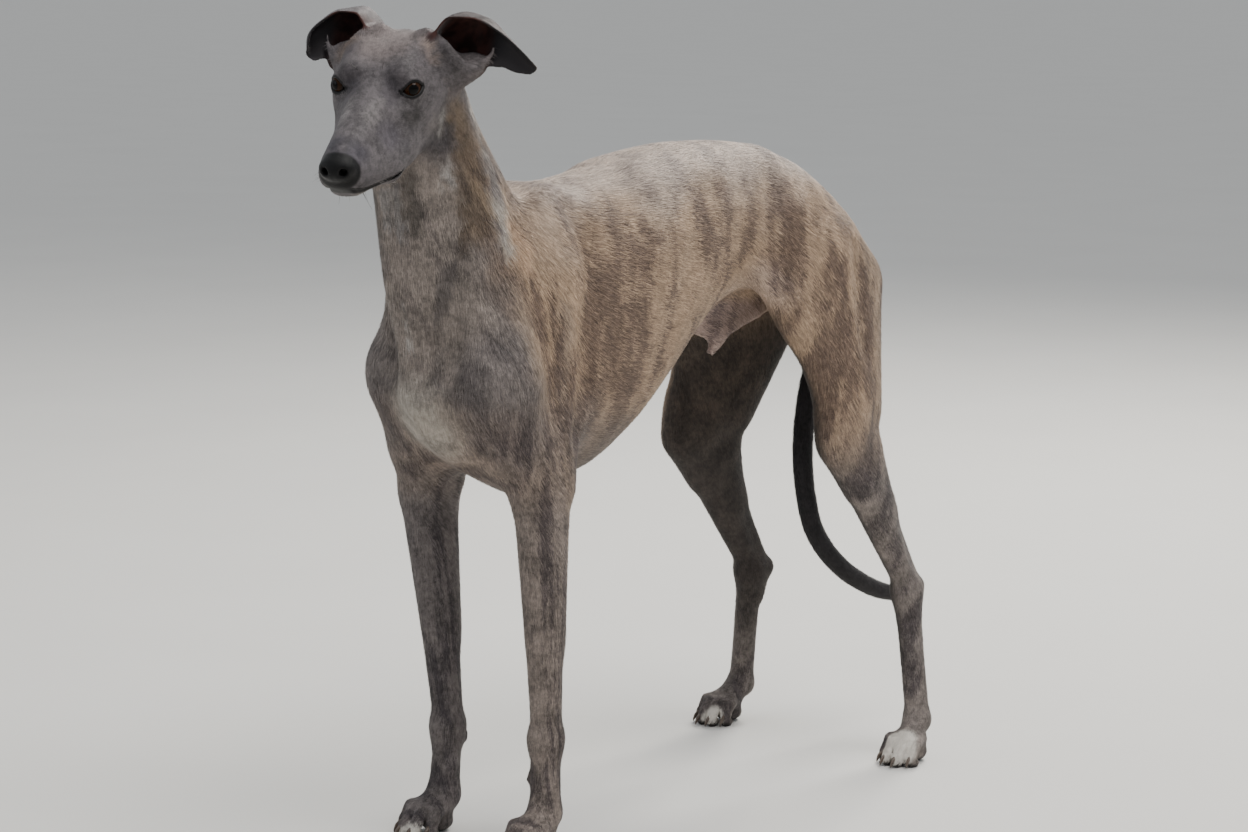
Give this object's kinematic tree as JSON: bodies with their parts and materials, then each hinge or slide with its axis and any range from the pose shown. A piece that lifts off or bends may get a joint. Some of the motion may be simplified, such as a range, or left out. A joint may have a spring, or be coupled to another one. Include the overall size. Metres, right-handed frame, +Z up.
{
  "type": "dog figure",
  "caption": "Life-size standing short-coated sighthound with a deep chest, tucked belly, long legs, folded ears and a hanging tail, head turned to its left.",
  "frame": {"origin": "on the floor, at the middle of the figure's box seen from above", "axes": "+Z up, +Y from the nose towards the tail, +X towards the dog's left side"},
  "size_m": [0.3422, 1.0447, 0.9179],
  "materials": {
    "coat": "short smooth hair, brindle: fawn with grey-brown stripes, grey face, white chest and toes",
    "eye": "wet, glossy dark brown"
  },
  "bodies": {
    "root": {"head": "coat", "ear_left": "coat", "ear_right": "coat", "eye_left": "eye", "eye_right": "eye", "neck": "coat", "torso": "coat", "tail": "coat", "foreleg_left": "coat", "foreleg_right": "coat", "hindleg_left": "coat", "hindleg_right": "coat"}
  },
  "joints": []
}
